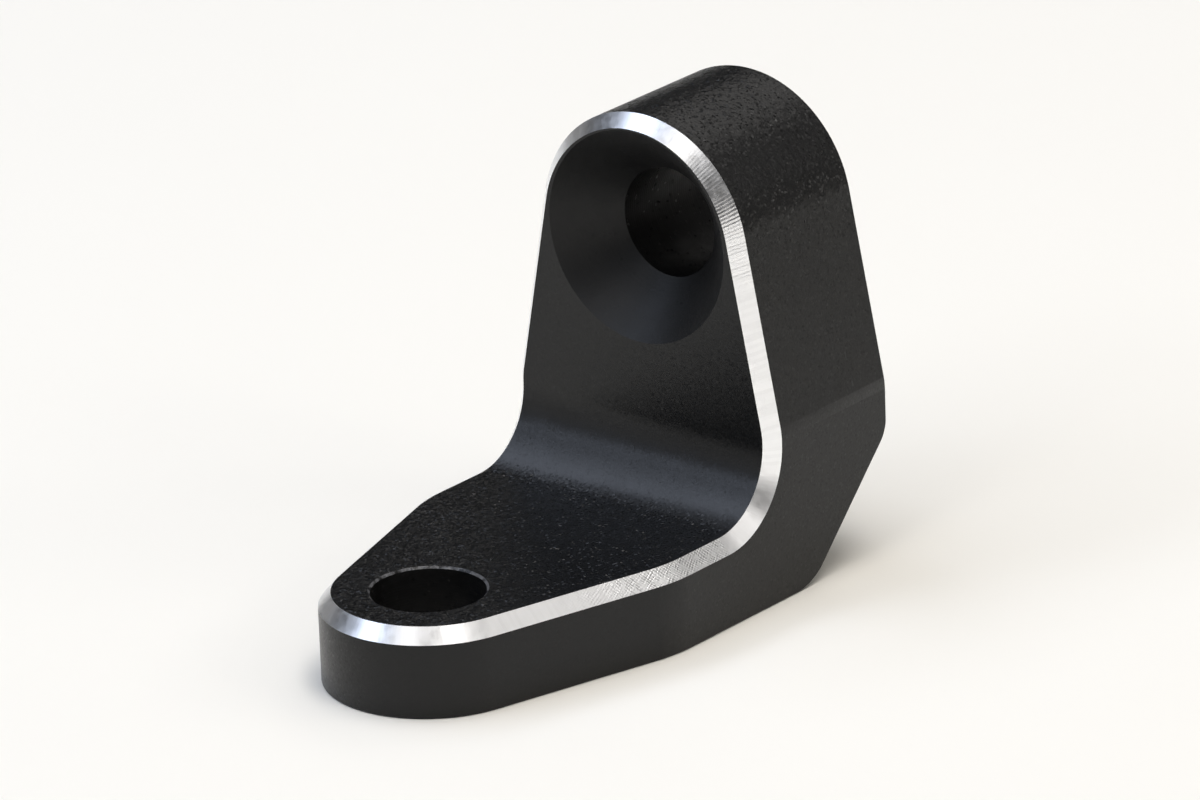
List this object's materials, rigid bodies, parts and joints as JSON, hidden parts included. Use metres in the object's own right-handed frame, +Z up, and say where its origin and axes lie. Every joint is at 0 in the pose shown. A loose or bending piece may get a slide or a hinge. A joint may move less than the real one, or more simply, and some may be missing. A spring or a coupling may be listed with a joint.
{
  "type": "suspension arm mount",
  "caption": "Small one-piece L-shaped arm mount: a flat foot with a screw hole and a thick upright with a countersunk hole, black with a bright edge.",
  "frame": {"origin": "where the foot hole's axis meets the flat base", "axes": "+Z up along the foot hole, +Y from the foot's tip towards the upright's back, X across the width"},
  "size_m": [0.009, 0.017, 0.013],
  "materials": {
    "black_anodised_aluminium": "bead blasted and black anodised, with a bright machined chamfer"
  },
  "bodies": {
    "root": {"arm_mount": "black_anodised_aluminium"}
  },
  "joints": []
}
